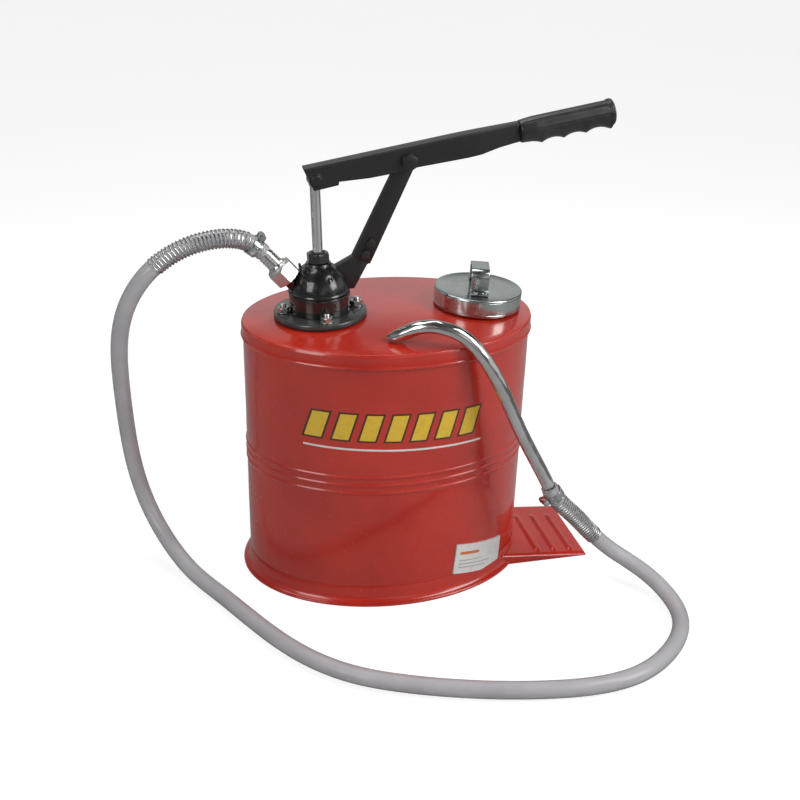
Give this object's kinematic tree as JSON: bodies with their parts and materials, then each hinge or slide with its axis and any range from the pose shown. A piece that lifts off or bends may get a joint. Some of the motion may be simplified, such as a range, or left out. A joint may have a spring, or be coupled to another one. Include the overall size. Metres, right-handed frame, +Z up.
{
  "type": "hand oil pump",
  "caption": "Hand-operated gear oil pump: oval steel tank, lever-worked piston pump and filler cap on its lid, foot plate, clear delivery hose and bent spout.",
  "frame": {"origin": "centre of the tank's flat underside, on the floor", "axes": "+Z up, +X from the pump towards the filler cap and the foot plate, -Y the front, where the hose lies"},
  "size_m": [0.6568, 0.4798, 0.5826],
  "materials": {
    "red_enamel": "gloss red stoved enamel over pressed sheet steel",
    "black_casting": "cast iron with gloss black enamel",
    "black_enamel": "satin black powder coat over pressed steel",
    "dark_plate": "dark grey painted steel plate",
    "zinc_plate": "bright zinc plated steel",
    "chrome": "polished chrome plating",
    "steel": "bright zinc plated fasteners and spring wire",
    "brass": "machined brass",
    "rubber": "black nitrile rubber",
    "grip_rubber": "moulded black rubber, satin, with a glossy end",
    "clear_hose": "clear reinforced PVC"
  },
  "bodies": {
    "root": {"tank_base": "red_enamel", "tank_body": "red_enamel", "tank_lid": "red_enamel", "foot_plate": "red_enamel", "filler_neck": "zinc_plate", "flange_gasket": "rubber", "pump_flange": "dark_plate", "flange_bolt_1": "steel", "flange_bolt_2": "steel", "flange_bolt_3": "steel", "flange_bolt_4": "steel", "flange_nut_1": "steel", "flange_nut_2": "steel", "flange_nut_3": "steel", "flange_nut_4": "steel", "head_base": "black_casting", "head_dome": "black_casting", "gland_nut": "black_casting", "gland_packing": "rubber", "barrel_tube": "steel", "foot_valve_body": "brass", "suction_strainer": "steel", "fulcrum_arm": "black_enamel", "arm_bolt_1": "steel", "arm_bolt_2": "steel", "arm_nut_1": "steel", "arm_nut_2": "steel", "pivot_bolt": "steel", "pivot_nut": "steel", "outlet_adapter": "black_casting", "swivel_nut": "chrome", "hose_tail": "chrome", "outlet_clamp": "zinc_plate", "outlet_clamp_screw": "steel", "outlet_spring": "steel", "hose": "clear_hose", "spout_spring": "steel", "spout_clamp": "zinc_plate", "spout_clamp_screw": "steel", "spout_tube": "chrome"},
    "lever": {"lever": "black_enamel", "grip": "grip_rubber", "grip_end_plug": "grip_rubber", "rod_pin": "steel", "rod_pin_clip": "steel"},
    "rod": {"piston_rod": "chrome", "rod_eye": "steel", "piston": "brass", "piston_cup": "rubber", "piston_nut": "steel"},
    "piston_ball": {"piston_ball": "steel"},
    "foot_valve_ball": {"foot_valve_ball": "steel"},
    "cap_seal": {"cap_gasket": "rubber"},
    "cap": {"filler_cap": "zinc_plate", "cap_strap": "zinc_plate"}
  },
  "joints": [
    {"name": "lever_swing", "type": "hinge", "parent": "root", "child": "lever", "pos_m": [0.018, 0, 0.519], "axis": [0, 1, 0], "range_deg": [-18, 32]},
    {"name": "rod_stroke", "type": "slide", "parent": "root", "child": "rod", "axis": [-0.0361, 0, 0.9993], "range_m": [-0.0331, 0.0588]},
    {"name": "piston_valve_lift", "type": "slide", "parent": "rod", "child": "piston_ball", "axis": [-0.0361, 0, 0.9993], "range_m": [0, 0.004]},
    {"name": "foot_valve_lift", "type": "slide", "parent": "root", "child": "foot_valve_ball", "axis": [-0.0361, 0, 0.9993], "range_m": [0, 0.003]},
    {"name": "cap_lift", "type": "slide", "parent": "root", "child": "cap_seal", "axis": [0.0483, 0, 0.9988], "range_m": [0, 0.06]},
    {"name": "cap_turn", "type": "hinge", "parent": "cap_seal", "child": "cap", "pos_m": [0.111, 0, 0.33732], "axis": [0.0483, 0, 0.9988], "range_deg": [0, 90]}
  ],
  "couplings": [
    {"joint": "rod_stroke", "follows": "lever_swing", "m_per_rad": 0.105}
  ]
}
